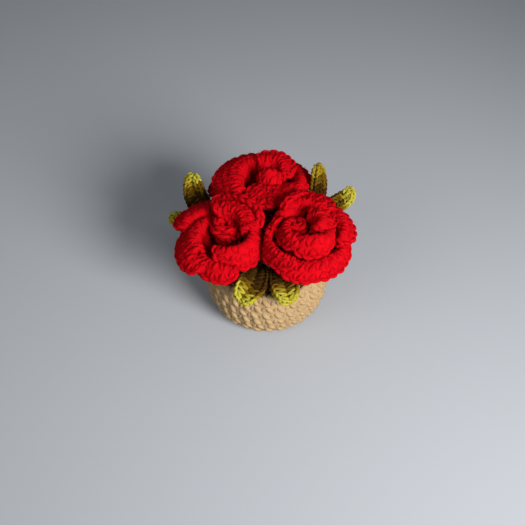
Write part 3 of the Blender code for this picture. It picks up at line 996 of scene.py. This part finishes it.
class BUSH_OT_roses(bpy.types.Operator):
    """Works the rose heads: a rolled strip in the middle and scalloped petals round it"""
    bl_idname = "bush.roses"
    bl_label = "Rose heads"

    def execute(self, context):
        heads = context.scene.rose_heads
        red = dye_and_shade_tones("rose_yarn_looks", heads.colour, heads.deep, ROSE_PAINTED_SHADES)
        for order, (name, rose) in enumerate(ROSES.items()):
            rng = np.random.default_rng(ROSE_SEED + order)
            weave = Weave()
            fuzz = Fuzz()
            foot = [
                (AXIS_R, -ROSE_FOOT_DROP), (0.78 * ROSE_CORE_R, -ROSE_FOOT_DROP),
                (0.97 * ROSE_CORE_R, 1.2), (ROSE_CORE_R, 3.4), (0.75 * ROSE_CORE_R, 5.6),
                (0.35 * ROSE_CORE_R, 7.3), (AXIS_R, 7.5)]
            # The foot under the petals takes the darkest tone: painted shade.
            weave.turned(foot, ROSE_CORE_SIDES, tone=2)
            weave.shift((*rose["foot"], ROSE_BASE_Z))
            for layer, petal in enumerate(rose["petals"]):
                cloth = Cloth(lambda u, v, n=layer, p=petal: petal_shape(rose, n, p, u, v), -1.0)
                outer = layer < OUTER_PETALS
                start = OUTER_START if outer else INNER_START
                self.petal(weave, fuzz, cloth, heads, rng, start, outer, PETAL_PAINTED_SHADE_LEVELS)
            # The bud takes the darker tones all over: painted shade.
            cloth = Cloth(lambda u, v: bud_shape(rose, u, v))
            self.petal(weave, fuzz, cloth, heads, rng, BUD_START, False, BUD_PAINTED_SHADE_LEVELS)
            show(weave, name + "_petals", red, [name])
            show(fuzz.grown(heads.fibre_count, ROSE_FIBRE, rng), name + "_fibres", red)
        return {"FINISHED"}

    def petal(self, weave, fuzz, cloth, heads, rng, start, both, shade_levels):
        """One petal: its backing, rows of stitches on the sides that show, and an edging."""
        strand = heads.strand / MM
        pitch = heads.stitch_width / MM
        base = heads.petal_thickness / MM / 2.0 - STRAND_SINK * strand
        weave.slab(cloth, PETAL_BACKING, PETAL_STEPS, base + PETAL_BACKING_SWELL * strand)
        cells = stitch_cells(
            cloth, (*PETAL_STITCHES, start, PETAL_END), pitch, heads.row_height / MM, PETAL_LEAN)
        level = (cells[:, 2] + cells[:, 3]) / 2.0
        # Rows low on the sheet take darker tones: painted shade in the rose's depths.
        tone = (level < shade_levels[0]).astype(int) + (level < shade_levels[1])
        for face in (1.0, -1.0) if both else (1.0,):
            for leg in (LEFT_LEG, RIGHT_LEG):
                strands = lay_strands(cloth, cells, leg, strand, face, base * PETAL_LIFT, rng)
                weave.tubes(*strands, rng=rng, tone=tone)
                if face > 0:
                    fuzz.gather(*strands, tone)
        for face in (1.0, -1.0):
            *strands, _ = edge_strands(cloth, PETAL_EDGE, pitch, strand, face, base * PETAL_LIFT, rng)
            weave.tubes(*strands, rng=rng)


class BUSH_OT_stems(bpy.types.Operator):
    """Winds the short stem under each rose head"""
    bl_idname = "bush.stems"
    bl_label = "Stems"

    def execute(self, context):
        stems = context.scene.bush_stems
        strand = stems.strand / MM
        brown = dye_and_shade_tones("stem_yarn_looks", stems.colour, stems.deep, ONE_SHADE)
        weave = Weave()
        rng = np.random.default_rng(STEM_SEED)
        share = np.linspace(0.0, 1.0, 40)
        radius = 0.5 * strand * drawn_in(0.05, len(share), 0.2)
        for rose in ROSES.values():
            foot = np.array([*rose["foot"], (STEM_LOW_Z + STEM_TOP_Z) / 2.0])
            ring = STEM_R - strand * 0.5
            while ring > strand * 0.3:
                points = foot + outward(STEM_TURN * share + 90.0 * ring) * ring
                points = points + (STEM_RISE * (share - 0.5))[:, None] * UP
                up = np.broadcast_to(UP, points.shape)
                weave.tubes(points[None], up[None], radius[None], rng=rng)
                ring -= strand * 0.9
        show(weave, "stems_wound", brown, [name.replace("rose", "stem") for name in ROSES])
        return {"FINISHED"}


class BUSH_OT_leaves(bpy.types.Operator):
    """Works the leaves: stitches from the midrib out to an edging"""
    bl_idname = "bush.leaves"
    bl_label = "Leaves"

    def execute(self, context):
        leaves = context.scene.bush_leaves
        olive = dye_and_shade_tones("leaf_yarn_looks", leaves.colour, leaves.deep, LEAF_TONES_AND_PAINTED_LIGHT)
        strand = leaves.strand / MM
        pitch = leaves.stitch_width / MM
        for order, (name, leaf) in enumerate(LEAVES.items()):
            rng = np.random.default_rng(LEAF_SEED + order)
            weave = Weave()
            fuzz = Fuzz()
            half = leaf["half"][1] - STRAND_SINK * strand
            cloth = Cloth(lambda u, v: leaf_shape(leaf, u, v))
            # The backing, seen between the strands, takes a dark tone: painted shade.
            weave.slab(cloth, LEAF_BACKING, LEAF_STEPS, half * LEAF_BACKING_SHARE, tone=2)
            ends = even_steps(lambda v: cloth.point(np.zeros_like(v), v), *LEAF_ROWS, pitch, 3)
            cells = np.array([(low, high, *LEAF_STITCHES) for low, high in zip(ends, ends[1:])])
            for face in (1.0, -1.0):
                for way in (1.0, -1.0):
                    turned = Cloth(lambda u, v, w=way: leaf_shape(leaf, w * v, u), -way)
                    tone = leaf_tone(name, (cells[:, 0] + cells[:, 1]) / 2.0, rng)
                    for leg in (LEFT_LEG, RIGHT_LEG):
                        strands = lay_strands(turned, cells, leg, strand, face, half * LEAF_LIFT, rng)
                        weave.tubes(*strands, rng=rng, tone=tone)
                        fuzz.gather(*strands, tone)
            for face in (1.0, -1.0):
                *strands, place = edge_strands(
                    cloth, LEAF_EDGE, pitch * LEAF_EDGE_PITCH, strand * LEAF_EDGE_STRAND, face,
                    half * LEAF_EDGE_LIFT, rng)
                weave.tubes(*strands, rng=rng, tone=leaf_tone(name, place[:, 1], rng))
            show(weave, name + "_worked", olive, [name])
            show(fuzz.grown(leaves.fibre_count, LEAF_FIBRE, rng), name + "_fibres", olive)
        return {"FINISHED"}


class BUSH_OT_studio(bpy.types.Operator):
    """Sets the pale floor, the soft lights and the camera"""
    bl_idname = "bush.studio"
    bl_label = "Studio"

    def execute(self, context):
        studio = context.scene.bush_studio
        self.floor(studio)
        self.lights(studio)
        self.camera(studio)
        context.scene.view_settings.view_transform = "Standard"
        return {"FINISHED"}

    def floor(self, studio):
        bpy.ops.mesh.primitive_plane_add(size=FLOOR_SIZE, location=(0.0, 0.0, 0.0))
        floor = bpy.context.active_object
        floor.name = "floor"
        material = bpy.data.materials.new("pale_floor")
        material.use_nodes = True
        set_inputs(material.node_tree.nodes["Principled BSDF"], {
            "Roughness": 0.9, "Specular IOR Level": 0.15, "Base Color": (*studio.floor_colour, 1.0)})
        floor.data.materials.append(material)

    def lights(self, studio):
        for name, place, radius, energy in (
                ("key", KEY_PLACE, KEY_RADIUS, studio.key_power),
                ("fill", FILL_PLACE, FILL_RADIUS, studio.fill_power)):
            data = bpy.data.lights.new(name, "SPOT")
            data.spot_size = math.radians(LIGHT_CONE)
            data.spot_blend = 1.0
            data.shadow_soft_size = radius
            data.energy = energy
            lamp = new_object(name, data)
            lamp.location = place
            aim = Vector(LIGHT_AIM) - Vector(place)
            lamp.rotation_euler = aim.to_track_quat("-Z", "Y").to_euler()
        world = bpy.data.worlds.new("even_light")
        world.use_nodes = True
        set_inputs(world.node_tree.nodes["Background"], {"Color": SKY_COLOUR, "Strength": studio.sky})
        bpy.context.scene.world = world

    def camera(self, studio):
        data = bpy.data.cameras.new("camera")
        data.lens = studio.lens / MM
        data.sensor_width = 36.0
        data.clip_start = 0.01
        camera = new_object("camera", data)
        back = Vector((0.0, -math.cos(studio.tilt), math.sin(studio.tilt)))
        camera.location = Vector(CAMERA_AIM) + back * studio.distance
        camera.rotation_euler = (math.pi / 2.0 - studio.tilt, 0.0, 0.0)
        bpy.context.scene.camera = camera


class BUSH_PT_panel(bpy.types.Panel):
    bl_idname = "BUSH_PT_panel"
    bl_label = "Rose bush"
    bl_space_type = "VIEW_3D"
    bl_region_type = "UI"
    bl_category = "Rose bush"

    def draw(self, context):
        for operator, settings in STEPS:
            box = self.layout.box()
            box.operator(operator.bl_idname)
            group = getattr(context.scene, settings)
            for name in group.bl_rna.properties.keys():
                if name not in ("rna_type", "name"):
                    box.prop(group, name)


STEPS = (
    (BUSH_OT_pot, "pot_cover"),
    (BUSH_OT_stems, "bush_stems"),
    (BUSH_OT_roses, "rose_heads"),
    (BUSH_OT_leaves, "bush_leaves"),
    (BUSH_OT_studio, "bush_studio"),
)
SETTINGS = {
    "pot_cover": PotCoverSettings,
    "rose_heads": RoseHeadSettings,
    "bush_stems": StemSettings,
    "bush_leaves": LeafSettings,
    "bush_studio": StudioSettings,
}


def register():
    for name, group in SETTINGS.items():
        bpy.utils.register_class(group)
        setattr(bpy.types.Scene, name, PointerProperty(type=group))
    for operator, _ in STEPS:
        bpy.utils.register_class(operator)
    bpy.utils.register_class(BUSH_PT_panel)


def unregister():
    bpy.utils.unregister_class(BUSH_PT_panel)
    for operator, _ in reversed(STEPS):
        bpy.utils.unregister_class(operator)
    for name, group in SETTINGS.items():
        delattr(bpy.types.Scene, name)
        bpy.utils.unregister_class(group)


def main():
    register()
    bpy.ops.bush.pot()
    bpy.ops.bush.stems()
    bpy.ops.bush.roses()
    bpy.ops.bush.leaves()
    bpy.ops.bush.studio()


if __name__ == "__main__":
    main()
